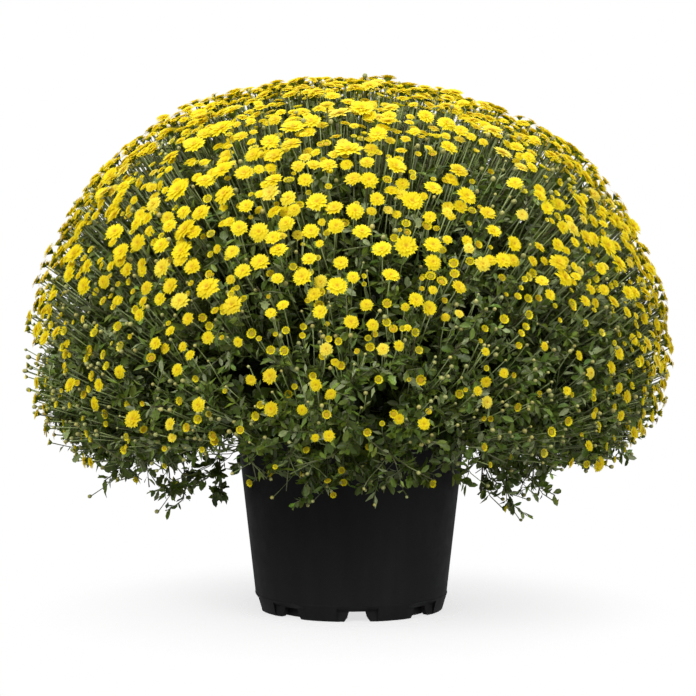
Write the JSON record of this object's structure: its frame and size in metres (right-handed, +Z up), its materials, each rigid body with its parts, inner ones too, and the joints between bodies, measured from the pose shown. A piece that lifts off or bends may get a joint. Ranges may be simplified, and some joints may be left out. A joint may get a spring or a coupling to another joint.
{
  "type": "pot chrysanthemum",
  "caption": "Low round dome of small daisy-like flowers over dark lobed leaves, on leafy stems that stand in potting mix in a tapered round nursery pot.",
  "frame": {"origin": "on the floor, in the middle of the pot's foot", "axes": "+Z up along the pot's axis, -Y towards the viewer of the front"},
  "size_m": [0.8263, 0.8293, 0.6761],
  "materials": {
    "pot_plastic": "near-black blow-moulded plastic with a satin sheen",
    "potting_mix": "dark brown peat and bark, matt and crumbly",
    "flowers": "soft vivid yellow petals with an amber middle",
    "foliage": "dark grey-green leaves and stems, matt with a faint sheen"
  },
  "bodies": {
    "root": {"pot": "pot_plastic", "potting_mix": "potting_mix", "crown_spray": "flowers", "upper_spray_01": "flowers", "upper_spray_02": "flowers", "upper_spray_03": "flowers", "upper_spray_04": "flowers", "middle_spray_01": "flowers", "middle_spray_02": "flowers", "middle_spray_03": "flowers", "middle_spray_04": "flowers", "middle_spray_05": "flowers", "middle_spray_06": "flowers", "lower_spray_01": "foliage", "lower_spray_02": "foliage", "lower_spray_03": "foliage", "lower_spray_04": "foliage", "lower_spray_05": "foliage", "lower_spray_06": "foliage"}
  },
  "joints": []
}
